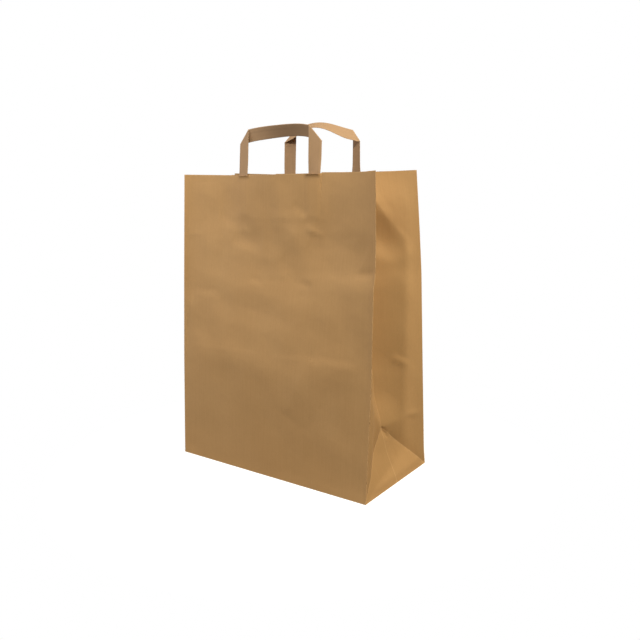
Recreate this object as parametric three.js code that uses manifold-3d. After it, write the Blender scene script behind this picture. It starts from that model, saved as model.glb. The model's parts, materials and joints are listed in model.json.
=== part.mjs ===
// A brown kraft paper carrier bag with flat tape handles, standing open.
// Millimetres, +Z up. The origin is the centre of the base, on the surface the bag stands on.
// The front panel faces -Y, and the two gussets are on the left (-X) and right (+X).
import * as THREE from "three";
import { mergeVertices } from "three/addons/utils/BufferGeometryUtils.js";
import Module from "manifold-3d";

const wasm = await Module();
wasm.setup();

// Driving dimensions: the bag.
const panelWidth = 320;
const bagDepth = 160;
const panelHeight = 410; // from the bottom fold to the rim, measured along the paper
const paper = 0.14; // one sheet of 100 g/m2 kraft
const floorLayers = 3; // the pasted flaps lie three deep across the bottom
const glueLine = 0.3; // between sheets that are pasted together

// Driving dimensions: how far the opened bag leans in from its base line.
// Each edge is straight from the base to the packing crease, and again from there to the rim.
const frontLeft = { atCrease: 9.5, atRim: 28 };
const frontRight = { atCrease: 14.5, atRim: 27 };
const backEdge = { atCrease: 11.5, atRim: 34 };
const frontBow = 18; // the front rim bows in between its corners
const backBow = -10; // and the back rim bows out
const frontCrown = 10; // around the handle the front panel crowns out again
const backCrown = 12;
const crownHalfWidth = 100;
const crownReach = 140; // the crown starts this far below the rim and is full at the rim
const rimDip = 3; // how much lower the bowed paper leaves the middle of a rim
const foldSag = 2; // the gusset's middle fold sits this far below the rim's corners

// Driving dimensions: the handles and the patches that hold them.
const tapeWidth = 17;
const tapeThickness = 0.6; // a strip folded into five layers
const legSpacing = 117; // between the middles of a handle's two legs
const frontLoop = 62; // from the rim to the top of the bar at its two corners
const backLoop = 61;
const frontArch = 5.5; // a bar rises this much more in its middle
const backArch = 14;
const frontTwist = THREE.MathUtils.degToRad(28); // a bar's top edge turns out this far, at most
const backTwist = THREE.MathUtils.degToRad(48);
const backShift = 3; // the back handle is pasted this far off centre
const legTuck = 55; // length of leg below the rim, pasted inside
const patchPastLegs = 13; // how far a patch reaches past the legs on either side
const patchBelowLegs = 5.8; // and below their ends
const patchDrop = 0.8; // the middle of a patch's top edge lies this far below the rim
const patchTilt = THREE.MathUtils.degToRad(2.6);
const mitreSlant = 2; // the sections next to a mitre lean by this much at their inner ends
const plyStep = 1; // and within this length the tape goes from two layers to one

// Driving dimensions: the tear in the front panel beside the right leg.
const tearLength = 22;
const tearWidth = 0.8;

// How fine the curved sheets are.
const panelColumns = 32;
const foldCells = 4; // squares across half a gusset
const upperRows = 10; // from the packing crease to the rim
const tapeColumns = 2;
const legRows = 4;
const halfBarRows = 8; // from a mitre to the middle of the bar
const patchColumns = 16;
const patchRows = 3;

const halfWidth = panelWidth / 2;
const halfDepth = bagDepth / 2;
const packingCrease = bagDepth; // the bottom, folded up for packing, creases the panel at its own depth
const crownBottom = panelHeight - crownReach;
const { lerp } = THREE.MathUtils;

// One panel of the bag: which way it faces, the lean of its left and right edge, its bow and
// its crown.
const frontPanel = {
  facing: -1,
  left: frontLeft,
  right: frontRight,
  bow: frontBow,
  crown: frontCrown,
};
const backPanel = {
  facing: 1,
  left: backEdge,
  right: backEdge,
  bow: backBow,
  crown: backCrown,
};

function edgeLean(edge, height) {
  if (height <= packingCrease) return (edge.atCrease * height) / packingCrease;
  const share = (height - packingCrease) / (panelHeight - packingCrease);
  return lerp(edge.atCrease, edge.atRim, share);
}

// The place of a point on a panel, from its place on the flat sheet.
// across runs from -halfWidth to halfWidth, height along the paper, and depth into the bag.
// The lean runs evenly from the left edge to the right one, the bow is flat in its middle and
// steep near the edges, and the crown is a bell. Above the rim the same surface goes on, so a
// handle stands in line with its panel.
function onPanel(panel, across, height, depth) {
  const share = across / halfWidth;
  const left = edgeLean(panel.left, height);
  const right = edgeLean(panel.right, height);
  const upward = height / panelHeight;
  const bow = panel.bow * (1 - share ** 4) * upward;
  const bell = Math.max(1 - (across / crownHalfWidth) ** 2, 0) ** 2;
  const crown = panel.crown * bell * Math.max((height - crownBottom) / crownReach, 0);
  const lean = lerp(left, right, (share + 1) / 2) + bow - crown;
  const dip = rimDip * (1 - share ** 2) * upward ** 3;
  const rise = Math.sqrt(Math.max(height ** 2 - lean ** 2, 0)) - dip;
  return new THREE.Vector3(across, panel.facing * (halfDepth - lean - depth), rise);
}

function between(a, b, share) {
  return a.clone().lerp(b, share);
}

// The middle fold of a gusset at one height: both halves of the gusset are half the bag's depth
// wide and stay flat, so the fold goes in as far as the lean of the two edges leaves them room.
function foldDepth(front, back) {
  const halfGap = (back.y - front.y) / 2;
  return Math.sqrt(Math.max(halfDepth ** 2 - halfGap ** 2, 0));
}

// The tip of the bottom triangle, where both 45 degree creases meet the middle fold.
function triangleTip(side) {
  const front = onPanel(frontPanel, side * halfWidth, halfDepth, 0);
  const back = onPanel(backPanel, side * halfWidth, halfDepth, 0);
  const inward = foldDepth(front, back);
  const rise = Math.sqrt(halfDepth ** 2 - inward ** 2);
  return new THREE.Vector3(side * (halfWidth - inward), (front.y + back.y) / 2, rise);
}

function middleFold(side, height) {
  const front = onPanel(frontPanel, side * halfWidth, height, 0);
  const back = onPanel(backPanel, side * halfWidth, height, 0);
  const inward = foldDepth(front, back);
  const tip = triangleTip(side);
  const tipSag = halfDepth - tip.z;
  const share = (height - halfDepth) / (panelHeight - halfDepth);
  const rise = (front.z + back.z) / 2 - lerp(tipSag, foldSag, share);
  return new THREE.Vector3(side * (halfWidth - inward), (front.y + back.y) / 2, rise);
}

// The place of a point on a gusset, from its place on the flat sheet.
// around runs from 0 at the front edge to bagDepth at the back edge. Three creases part the
// facets: from each bottom corner up to the tip, and from the tip up to the front edge again.
function onGusset(side, around, height) {
  const front = onPanel(frontPanel, side * halfWidth, height, 0);
  const back = onPanel(backPanel, side * halfWidth, height, 0);
  const tip = triangleTip(side);
  if (height < halfDepth) {
    const share = height / halfDepth;
    const frontCorner = new THREE.Vector3(side * halfWidth, -halfDepth, 0);
    const backCorner = new THREE.Vector3(side * halfWidth, halfDepth, 0);
    const frontCrease = between(frontCorner, tip, share);
    const backCrease = between(backCorner, tip, share);
    if (around < height) return between(front, frontCrease, around / height);
    if (bagDepth - around < height) return between(back, backCrease, (bagDepth - around) / height);
    return between(frontCrease, backCrease, (around - height) / (bagDepth - 2 * height));
  }
  const fold = height === halfDepth ? tip : middleFold(side, height);
  if (around >= halfDepth) return between(fold, back, (around - halfDepth) / halfDepth);
  const toCrease = bagDepth - height;
  if (toCrease <= 0) return between(front, fold, around / halfDepth);
  const topOfCrease = onPanel(frontPanel, side * halfWidth, bagDepth, 0);
  const crease = between(tip, topOfCrease, (height - halfDepth) / halfDepth);
  if (around <= toCrease) return between(front, crease, around / toCrease);
  return between(crease, fold, (around - toCrease) / (halfDepth - toCrease));
}

// The heights of the rows, with square cells up to the bag's depth so that the creases run
// along their diagonals.
function rowHeights() {
  const cell = halfDepth / foldCells;
  const heights = [];
  for (let row = 0; row <= 2 * foldCells; row++) {
    heights.push(row * cell);
  }
  const first = heights.at(-1);
  for (let row = 1; row <= upperRows; row++) {
    heights.push(lerp(first, panelHeight, row / upperRows));
  }
  return heights;
}

// One row of the bag's outside, anticlockwise from the front left edge as seen from above.
function ringAt(height) {
  const ring = [];
  const cells = 2 * foldCells;
  for (let i = 0; i < panelColumns; i++) {
    ring.push(onPanel(frontPanel, lerp(-halfWidth, halfWidth, i / panelColumns), height, 0));
  }
  for (let i = 0; i < cells; i++) {
    ring.push(onGusset(1, (bagDepth * i) / cells, height));
  }
  for (let i = 0; i < panelColumns; i++) {
    ring.push(onPanel(backPanel, lerp(halfWidth, -halfWidth, i / panelColumns), height, 0));
  }
  for (let i = cells; i > 0; i--) {
    ring.push(onGusset(-1, (bagDepth * i) / cells, height));
  }
  return ring;
}

// The same row on the inside of the paper, moved in by the paper's thickness with mitred corners.
function insetRing(ring) {
  return ring.map((point, i) => {
    const before = ring[(i + ring.length - 1) % ring.length];
    const after = ring[(i + 1) % ring.length];
    const [ax, ay] = inwardNormal(before, point);
    const [bx, by] = inwardNormal(point, after);
    const mitre = paper / (1 + ax * bx + ay * by);
    return new THREE.Vector3(point.x + (ax + bx) * mitre, point.y + (ay + by) * mitre, point.z);
  });
}

function inwardNormal(from, to) {
  const length = Math.hypot(to.x - from.x, to.y - from.y);
  return [(from.y - to.y) / length, (to.x - from.x) / length];
}

// Whether a cell's diagonal rises to the right, which puts it along the crease that crosses it.
function diagonalRises(column, row) {
  const cells = 2 * foldCells;
  const rightStart = panelColumns;
  const leftStart = 2 * panelColumns + cells;
  const below = row < foldCells;
  const inRight = column >= rightStart && column < rightStart + cells;
  const inLeft = column >= leftStart;
  if (!inRight && !inLeft) return true;
  const step = inRight ? column - rightStart : column - leftStart;
  const firstHalf = step < foldCells;
  if (inRight) return firstHalf ? below : false;
  return firstHalf ? true : !below;
}

// Two triangles between four corners, given anticlockwise from the lower left one.
function pushQuad(triangles, [a, b, c, d], rising) {
  triangles.push(...(rising ? [a, b, c, a, c, d] : [a, b, d, b, c, d]));
}

// The folded sheet as one closed shell: outside rows going up, inside rows, the rim between
// them, and the bottom, which is floorLayers thick.
function bagShell() {
  const heights = rowHeights();
  const outside = heights.map(ringAt);
  const inside = outside.map(insetRing);
  for (const point of inside[0]) point.z = floorLayers * paper;
  const around = outside[0].length;
  const points = [...outside.flat(), ...inside.flat()];
  const triangles = [];
  const outer = (row, column) => row * around + (column % around);
  const inner = (row, column) => outer(heights.length + row, column);
  const cell = (at, row, from, to) => [at(row, from), at(row, to), at(row + 1, to), at(row + 1, from)];
  const rim = heights.length - 1;
  for (let column = 0; column < around; column++) {
    const next = column + 1;
    for (let row = 0; row < rim; row++) {
      const rising = diagonalRises(column, row);
      pushQuad(triangles, cell(outer, row, column, next), rising);
      pushQuad(triangles, cell(inner, row, next, column), !rising);
    }
    pushQuad(triangles, [outer(rim, column), outer(rim, next), inner(rim, next), inner(rim, column)], true);
  }
  const under = points.push(new THREE.Vector3(0, 0, 0)) - 1;
  const floor = points.push(new THREE.Vector3(0, 0, floorLayers * paper)) - 1;
  for (let column = 0; column < around; column++) {
    triangles.push(under, outer(0, column + 1), outer(0, column));
    triangles.push(floor, inner(0, column), inner(0, column + 1));
  }
  return indexedGeometry(points, triangles);
}

function indexedGeometry(points, triangles) {
  const geometry = new THREE.BufferGeometry().setFromPoints(points);
  geometry.setIndex(triangles);
  return geometry;
}

// A piece of paper laid on a panel: shape(column, row, layer) gives the place on the panel of a
// grid point, for layer 0 on the outer face of the piece and layer 1 on its inner face.
function plate(panel, shape, columns, rows) {
  const points = [];
  for (const layer of [0, 1]) {
    for (let row = 0; row <= rows; row++) {
      for (let column = 0; column <= columns; column++) {
        points.push(onPanel(panel, ...shape(column, row, layer)));
      }
    }
  }
  const face = (columns + 1) * (rows + 1);
  const index = (row, column) => row * (columns + 1) + column;
  const triangles = [];
  for (let row = 0; row < rows; row++) {
    for (let column = 0; column < columns; column++) {
      const lower = [index(row, column), index(row, column + 1)];
      const upper = [index(row + 1, column + 1), index(row + 1, column)];
      const corners = [...lower, ...upper];
      pushQuad(triangles, corners, true);
      pushQuad(triangles, corners.map((corner) => corner + face).reverse(), true);
    }
  }
  const border = [];
  for (let column = 0; column < columns; column++) {
    border.push(index(0, column));
  }
  for (let row = 0; row < rows; row++) {
    border.push(index(row, columns));
  }
  for (let column = columns; column > 0; column--) {
    border.push(index(rows, column));
  }
  for (let row = rows; row > 0; row--) {
    border.push(index(row, 0));
  }
  border.forEach((a, i) => {
    const b = border[(i + 1) % border.length];
    pushQuad(triangles, [b, a, a + face, b + face], true);
  });
  if (panel.facing > 0) triangles.reverse();
  return indexedGeometry(points, triangles);
}

function solidOf(geometry) {
  const bare = new THREE.BufferGeometry().setAttribute("position", geometry.getAttribute("position"));
  bare.setIndex(geometry.index);
  const merged = mergeVertices(bare);
  const mesh = new wasm.Mesh({
    numProp: 3,
    vertProperties: merged.attributes.position.array,
    triVerts: new Uint32Array(merged.index.array),
  });
  return new wasm.Manifold(mesh);
}

function geometryOf(solid) {
  const mesh = solid.getMesh();
  const geometry = new THREE.BufferGeometry();
  geometry.setAttribute("position", new THREE.BufferAttribute(mesh.vertProperties, mesh.numProp));
  geometry.setIndex(new THREE.BufferAttribute(mesh.triVerts, 1));
  return geometry;
}

// The depths behind the panel's outer face at which the layers of a handle lie.
const legNear = paper + glueLine;
const legFar = legNear + tapeThickness;
const barFar = legFar + tapeThickness;
const barMiddle = (legFar + barFar) / 2;
const patchNear = legFar + glueLine;
const patchFar = patchNear + paper;

// The flat tape from the left leg's lower end to the middle of the bar, as sections across it.
// Each has its outer and inner end, as places on the sheet, and the depths of its two faces.
// At the 45 degree mitre the bar is folded over behind the leg, so the tape is double there.
function halfTape(loop) {
  const outer = (legSpacing + tapeWidth) / 2;
  const inner = (legSpacing - tapeWidth) / 2;
  const low = panelHeight - legTuck;
  const top = panelHeight + loop;
  const corner = top - tapeWidth;
  const sections = [];
  for (let row = 0; row <= legRows; row++) {
    const height = lerp(low, corner - mitreSlant - plyStep, row / legRows);
    sections.push({ ends: [[-outer, height], [-inner, height]], depths: [legNear, legFar] });
  }
  const folded = [legNear, barFar];
  const middle = [-legSpacing / 2, corner + tapeWidth / 2];
  sections.push({ ends: [[-outer, corner], [-inner, corner - mitreSlant]], depths: folded });
  sections.push({ ends: [middle, [-inner, corner]], depths: folded });
  sections.push({ ends: [[-inner, top], [mitreSlant - inner, corner]], depths: folded });
  for (let row = 0; row <= halfBarRows; row++) {
    const across = lerp(mitreSlant + plyStep - inner, 0, row / halfBarRows);
    sections.push({ ends: [[across, top], [across, corner]], depths: [legFar, barFar] });
  }
  return sections;
}

// One handle: the tape, its right half the mirror image of the left one. Between the legs the bar
// turns about its own middle line, so that its top edge leans out of the bag, and it bows square
// to its own face: up and inwards.
function handle(panel, shift, loop, archRise, twist) {
  const half = halfTape(loop);
  const axis = panelHeight + loop - tapeWidth / 2;
  const inner = (legSpacing - tapeWidth) / 2;
  const sweep = archRise / Math.tan(twist);
  const shape = (column, row, layer) => {
    const mirrored = row >= half.length;
    const section = half[mirrored ? 2 * (half.length - 1) - row : row];
    const [outerEnd, innerEnd] = section.ends;
    const flatAcross = lerp(outerEnd[0], innerEnd[0], column / tapeColumns);
    const up = lerp(outerEnd[1], innerEnd[1], column / tapeColumns) - axis;
    const middle = Math.max(1 - (flatAcross / inner) ** 2, 0);
    const turn = twist * middle;
    const inwards = section.depths[layer] - barMiddle;
    return [
      shift + (mirrored ? -flatAcross : flatAcross),
      axis + archRise * middle + up * Math.cos(turn) + inwards * Math.sin(turn),
      barMiddle + sweep * middle - up * Math.sin(turn) + inwards * Math.cos(turn),
    ];
  };
  return plate(panel, shape, tapeColumns, 2 * (half.length - 1));
}

// The paper patch pasted over both legs inside the mouth, set a little askew.
function patch(panel, shift) {
  const width = legSpacing + tapeWidth + 2 * patchPastLegs;
  const height = legTuck + patchBelowLegs - patchDrop;
  const centre = panelHeight - patchDrop - height / 2;
  const depths = [patchNear, patchFar];
  const shape = (column, row, layer) => {
    const x = width * (column / patchColumns - 0.5);
    const y = height * (row / patchRows - 0.5);
    const across = x * Math.cos(patchTilt) + y * Math.sin(patchTilt);
    const upward = y * Math.cos(patchTilt) - x * Math.sin(patchTilt);
    return [shift + across, centre + upward, depths[layer]];
  };
  return plate(panel, shape, patchColumns, patchRows);
}

// The sheet with its tear: a narrow wedge out of the rim where the right leg's outer edge lies.
function bagBody() {
  const across = (legSpacing + tapeWidth) / 2;
  const top = onPanel(frontPanel, across, panelHeight, 0);
  const tip = onPanel(frontPanel, across, panelHeight - tearLength, 0);
  const reach = 2 * legNear;
  const wedge = new THREE.Shape([
    new THREE.Vector2(top.x - tearWidth / 2, top.z + reach),
    new THREE.Vector2(tip.x, tip.z),
    new THREE.Vector2(top.x + tearWidth / 2, top.z + reach),
  ]);
  const from = tip.y - reach;
  const depth = top.y - tip.y + 2 * reach;
  const cut = new THREE.ExtrudeGeometry(wedge, { depth, bevelEnabled: false });
  cut.rotateX(Math.PI / 2).translate(0, from + depth, 0);
  return geometryOf(solidOf(bagShell()).subtract(solidOf(cut)));
}

const kraft = { color: "#b28a60", roughness: 0.82, metalness: 0 };
const tapeKraft = { color: "#b18d6c", roughness: 0.8, metalness: 0 };
const patchKraft = { color: "#a98359", roughness: 0.82, metalness: 0 };

const bag = new THREE.Group();

function addPiece(name, geometry, finish) {
  const mesh = new THREE.Mesh(geometry, new THREE.MeshStandardMaterial(finish));
  mesh.name = name;
  geometry.computeVertexNormals();
  bag.add(mesh);
}

addPiece("bag_body", bagBody(), kraft);
addPiece("front_handle", handle(frontPanel, 0, frontLoop, frontArch, frontTwist), tapeKraft);
addPiece("back_handle", handle(backPanel, backShift, backLoop, backArch, backTwist), tapeKraft);
addPiece("front_handle_patch", patch(frontPanel, 0), patchKraft);
addPiece("back_handle_patch", patch(backPanel, backShift), patchKraft);

export default bag;
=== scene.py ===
# %% [markdown]
# # A brown paper carrier bag, standing open
#
# This lesson builds the looks of a block-bottom carrier bag around a plain model of it.
# The bag is one sheet of kraft paper, folded and pasted, with a flat folded-tape handle
# pasted inside each long side of its mouth and a paper patch over the legs of each handle.
# Paper can bend and crease but hardly stretch, so every piece here is worked out from its
# place on the flat sheet, and each fold and dent is a small change of depth there.

# %% Loading the frame
import json

import bpy
import numpy as np
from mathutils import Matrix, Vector

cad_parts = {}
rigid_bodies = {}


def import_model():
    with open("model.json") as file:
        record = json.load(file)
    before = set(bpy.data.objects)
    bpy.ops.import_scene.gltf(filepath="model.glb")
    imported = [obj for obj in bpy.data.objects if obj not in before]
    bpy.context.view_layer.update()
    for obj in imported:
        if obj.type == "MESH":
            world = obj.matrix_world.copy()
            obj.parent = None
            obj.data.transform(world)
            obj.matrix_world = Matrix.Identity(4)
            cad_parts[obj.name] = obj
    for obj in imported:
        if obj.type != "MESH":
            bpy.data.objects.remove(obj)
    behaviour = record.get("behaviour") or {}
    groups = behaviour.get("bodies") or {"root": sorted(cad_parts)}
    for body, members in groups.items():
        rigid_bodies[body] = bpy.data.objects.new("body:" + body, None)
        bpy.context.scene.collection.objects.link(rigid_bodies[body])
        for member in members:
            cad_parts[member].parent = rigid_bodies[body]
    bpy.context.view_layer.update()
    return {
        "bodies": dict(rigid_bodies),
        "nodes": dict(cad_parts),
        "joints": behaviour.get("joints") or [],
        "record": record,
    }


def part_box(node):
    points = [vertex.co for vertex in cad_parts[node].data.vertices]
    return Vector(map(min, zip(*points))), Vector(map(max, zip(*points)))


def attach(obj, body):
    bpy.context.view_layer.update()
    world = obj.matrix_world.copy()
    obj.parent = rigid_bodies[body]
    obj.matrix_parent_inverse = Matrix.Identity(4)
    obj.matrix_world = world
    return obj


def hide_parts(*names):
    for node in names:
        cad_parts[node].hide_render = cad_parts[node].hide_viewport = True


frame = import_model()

print("nodes:", sorted(frame["nodes"]))

# %% [markdown]
# ## Sizes
#
# The frame is in metres, but paper is easier to think about in millimetres, so everything is
# worked out in millimetres and multiplied once when a mesh is made. The base of the bag and
# the spread of the handles are read from the frame.

# %% Sizes of the bag and of its paper
MM = 0.001
low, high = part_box("bag_body")
half_width = (high.x - low.x) / 2 / MM
half_depth = (high.y - low.y) / 2 / MM
bag_depth = 2 * half_depth
panel_height = 410.0  # from the bottom fold to the rim, along the paper
paper = 0.14
glue_line = 0.3  # between sheets that are pasted together
packing_crease = bag_depth  # the bottom folds up flat against the panel for packing
tiny = 1e-6  # keeps a division away from 0
same_place = 1e-3  # places closer than this are taken to be one
print("base %.0f x %.0f mm" % (2 * half_width, bag_depth))

# %% Sizes of the handles
tape_width = 17.0
tape_thickness = 0.6
front_low, front_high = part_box("front_handle")
back_low, back_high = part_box("back_handle")
leg_spacing = (front_high.x - front_low.x) / MM - tape_width
legs_outer = (leg_spacing + tape_width) / 2  # the legs' edges, from the middle of a handle
legs_inner = (leg_spacing - tape_width) / 2
back_shift = (back_low.x + back_high.x) / 2 / MM
leg_tuck = 55.0  # length of a leg below the rim
leg_foot = panel_height - leg_tuck
print("legs %.1f mm apart, back handle %.1f mm off centre" % (leg_spacing, back_shift))

# %% [markdown]
# ## The shape of a dent and of a crease
#
# Creased paper is nearly flat between sharp lines. A few small functions of a place on the
# flat sheet describe all of it: a bell for a soft dent, a tent for a crease, which falls off
# straight on either side of its line so that it catches the light as two flat facets, and
# sums of waves and of zigzags for the slight unevenness that handling leaves everywhere.

# %% Bells, tents and plateaus
def bell(across, height, centre, size, turn=0.0):
    """(1 - r²)², with r the distance from the centre in half sizes of a turned ellipse."""
    x = across - centre[0]
    y = height - centre[1]
    along = (x * np.cos(turn) + y * np.sin(turn)) / size[0]
    beside = (y * np.cos(turn) - x * np.sin(turn)) / size[1]
    return np.maximum(1 - along**2 - beside**2, 0) ** 2


def tent(across, height, start, end, left, right, blunt=1.0):
    """1 on the line from start to end, falling straight to 0 at `left` and `right` beside it.

    The line fades out to both ends, and `blunt` rounds the fold itself.
    """
    run = np.subtract(end, start)
    length = np.hypot(*run)
    x = across - start[0]
    y = height - start[1]
    along = (x * run[0] + y * run[1]) / length
    beside = (y * run[0] - x * run[1]) / length
    past = np.maximum(np.maximum(-along, along - length), 0)
    reach = np.where(beside > 0, left, right)
    away = np.sqrt(beside**2 + past**2 + blunt**2) - blunt
    share = np.clip(along / length, 0, 1)
    return np.maximum(1 - away / reach, 0) * np.sqrt(4 * share * (1 - share))


def rise(value, start, end):
    """0 before start and 1 after end, with a smooth S between: 3t² - 2t³."""
    t = np.clip((value - start) / (end - start), 0, 1)
    return t * t * (3 - 2 * t)


def plateau(value, start, end, soft):
    """1 between start and end, with a smooth edge `soft` wide on both sides."""
    return rise(value, start - soft, start) * rise(-value, -end - soft, -end)


print("a bell is", bell(0, 0, (0, 0), (1, 1)), "at its centre")

# %% Waves and facets
wave_count = 9
facet_count = 8
facet_sizes = (32, 95)  # the shortest and longest
facet_bend = 5.0  # how far the facets' edges wander
facet_bend_sizes = (70, 160)


def waves(across, height, seed, shortest, longest):
    """The sum of a few sine waves in random directions, about 1 at its highest."""
    random = np.random.default_rng(seed)
    total = 0 * across
    for _ in range(wave_count):
        direction = random.uniform(0, np.pi)
        length = random.uniform(shortest, longest)
        phase = random.uniform(0, 2 * np.pi)
        distance = across * np.cos(direction) + height * np.sin(direction)
        total = total + np.sin(2 * np.pi * distance / length + phase)
    return total / np.sqrt(2 * wave_count)


def crumple(across, height, seed, slope):
    """Flat facets at slight slopes: a sum of zigzags, |t - ½| of wavy distances."""
    random = np.random.default_rng(seed)
    bent = facet_bend * waves(across, height, seed + 1, *facet_bend_sizes)
    total = 0 * across
    for _ in range(facet_count):
        direction = random.uniform(0, np.pi)
        length = random.uniform(*facet_sizes)
        phase = random.uniform(0, 1)
        distance = across * np.cos(direction) + height * np.sin(direction) + bent
        total = total + length * np.abs((distance / length + phase) % 1 - 0.5)
    return slope * total


def creased(across, height, creases, dents):
    """The sum of the creases' tents and the dents' bells, each times its depth."""
    total = 0 * across
    for start, end, left, right, deep in creases:
        total = total + deep * tent(across, height, start, end, left, right)
    for centre, size, turn, deep in dents:
        total = total + deep * bell(across, height, centre, size, turn)
    return total


print("crumpled paper is a sum of", facet_count, "zigzags")

# %% [markdown]
# ## The front and back panels
#
# The bag leans in from its base to its rim. The lean of each upright edge is a smooth curve
# through a few heights. Between its edges a panel bellies out at the packing crease and bows
# in at the rim, and around the handle it crowns out again. On top of that come the creases
# and dents. The right front edge has a small step, where the paper was once nipped.

# %% The lean of the four upright edges, as (height, lean) along the paper
front_left_edge = [(0, 0), (148, 8.8), (259, 16.7), (410, 28.3)]
front_right_edge = [(0, 0), (89, 8.6), (164, 14.7), (220, 16.9), (268, 18.9)]
front_right_edge += [(288, 23.8), (321, 24.8), (410, 24.4)]
back_right_edge = [(0, 0), (21, 3.6), (66, 6), (146, 10.7), (278, 17.8), (338, 24.8), (410, 34.5)]
back_left_edge = [(0, 0), (80, 5), (160, 11), (300, 20), (410, 33)]
edge_softness = 7.0
edge_samples = 5


def edge_lean(knots, height):
    """The mean of the straight lines between the knots over a short stretch of the edge."""
    at, lean = np.array(knots, float).T
    top_slope = (lean[-1] - lean[-2]) / (at[-1] - at[-2])
    total = 0 * height
    for shift in np.linspace(-edge_softness, edge_softness, edge_samples):
        here = height + shift
        total = total + np.interp(np.abs(here), at, lean) * np.sign(here)
        total = total + top_slope * np.maximum(here - at[-1], 0)
    return total / edge_samples


print("the left edge leans in %.1f mm at the rim" % edge_lean(front_left_edge, panel_height))

# %% [markdown]
# A crease is written as its start, its end, how far it reaches to its left and to its right,
# and its depth. A dent is its centre, its half sizes, its turn and its depth. Places are
# across from the middle and up from the base, and a depth below 0 stands out of the panel.

# %% Creases and dents of both panels
front_creases = [
    ((-104, 352), (-66, 346), 38, 12, 1.0),
    ((-64, 338), (-44, 331), 5, 7, -0.6),
    ((-76, 324), (-24, 314), 24, 10, 1.0),
    ((-10, 412), (-6, 300), 12, 26, 0.9),
    ((28, 369), (53, 358), 12, 6, 0.8),
    ((48, 341), (76, 332), 3, 7, -1.0),
    ((60, 338), (140, 303), 26, 40, 1.7),
    ((166, 288), (128, 285), 5, 6, 1.0),
    ((-42, 270), (-16, 265), 5, 4, 0.5),
    ((10, 300), (48, 266), 26, 12, 0.7),
    ((44, 268), (62, 264), 7, 5, 0.7),
    ((-142, 240), (-92, 238), 9, 22, -0.7),
    ((-156, 327), (-130, 327), 3, 4, -0.4),
    ((68, 174), (34, 92), 40, 26, -1.6),
    ((66, 168), (138, 166), 9, 34, -1.1),
    ((-130, 400), (-118, 250), 26, 20, -1.0),
    ((104, 410), (112, 330), 22, 26, -0.8),
    ((-146, 166), (-6, 167), 3, 3, -0.22),
    ((6, 166), (66, 170), 3, 3, -0.25),
]
front_dents = [
    ((-88, 372), (24, 34), 0, 0.7),
    ((-62, 292), (40, 30), 0, -1.0),
    ((26, 322), (34, 22), 0, -0.9),
]
back_creases = [
    ((-70, 345), (-20, 330), 26, 12, 1.4),
    ((30, 352), (76, 338), 24, 10, 1.2),
    ((-140, 300), (-60, 262), 30, 20, -1.6),
    ((60, 300), (150, 322), 22, 34, -1.5),
    ((-30, 250), (40, 214), 26, 14, 1.3),
    ((-120, 172), (-40, 166), 10, 5, -0.9),
    ((40, 168), (130, 172), 10, 5, -0.9),
    ((-50, 160), (-90, 60), 34, 26, -1.4),
    ((20, 140), (80, 40), 30, 30, 1.2),
]
print(len(front_creases), "creases in front and", len(back_creases), "behind")

# %% [markdown]
# The legs of a handle and the patch over them lie behind the panel and press through it. The
# sheet is pasted into a tube along one seam, near an edge of the back panel, where the paper
# lies double. It shows as a fine step from the base to the rim.

# %% The marks of the handles, and the seam
leg_mark = 0.6  # how far the folded tape presses the panel out
leg_mark_inset = 1.0
leg_mark_soft = 4.5
leg_foot_soft = 4.0
patch_mark = 0.3
patch_mark_past_legs = 15.0
patch_mark_below_legs = 7.0
patch_side_soft = 3.0
patch_foot_soft = 2.0
seam_from_fold = 22.0
seam_edge = -half_width + seam_from_fold
seam_step = 0.3
seam_soft = 0.3


def handle_marks(across, height, centre):
    """How far the legs and the patch behind the panel press it out."""
    beside = np.abs(across - centre)
    legs = plateau(beside, legs_inner + leg_mark_inset, legs_outer - leg_mark_inset, leg_mark_soft)
    foot = leg_foot + leg_mark_inset
    legs = legs * rise(height, foot - leg_foot_soft, foot)
    patch_side = legs_outer + patch_mark_past_legs
    patch_foot = leg_foot - patch_mark_below_legs
    patch = rise(-beside, -patch_side, -patch_side + patch_side_soft)
    patch = patch * rise(height, patch_foot, patch_foot + patch_foot_soft)
    return leg_mark * legs + patch_mark * patch


print("the seam is %.0f mm from a fold of the back panel" % seam_from_fold)

# %% The two panels and their relief
front_panel = {
    "facing": -1,  # along Y
    "left": front_left_edge,
    "right": front_right_edge,
    "bow": 18.0,  # how far the middle of the rim bows in
    "crown": 10.0,  # and how far it crowns out again around the handle
    "belly": 4.5,  # how far the panel swells out at the packing crease
    "right_dip": 1.7,  # how far the right end of the rim hangs
    "handle_centre": 0.0,
    "creases": front_creases,
    "dents": front_dents,
    "seeds": {"swell": 3, "ripple": 5, "facets": 8},
    "swell": 0.3,  # depth of the slow waves
    "facets": 0.014,  # slope of the facets
    "calm": 0.55,  # the share of the facets that is missing low down
    "seam": 0.0,  # height of the seam's step
}
back_panel = {
    "facing": 1,
    "left": back_left_edge,
    "right": back_right_edge,
    "bow": -10.0,
    "crown": 12.0,
    "belly": 4.0,
    "right_dip": 0.0,
    "handle_centre": back_shift,
    "creases": back_creases,
    "dents": [],
    "seeds": {"swell": 11, "ripple": 12, "facets": 18},
    "swell": 0.45,
    "facets": 0.025,
    "calm": 0.0,
    "seam": seam_step,
}
swell_sizes = (60, 170)  # the shortest and longest of the sheet's slow waves
ripple_sizes = (12, 30)
ripple_depth = 0.05
calm_heights = (120, 220)  # the facets reach their full depth between these heights


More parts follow.
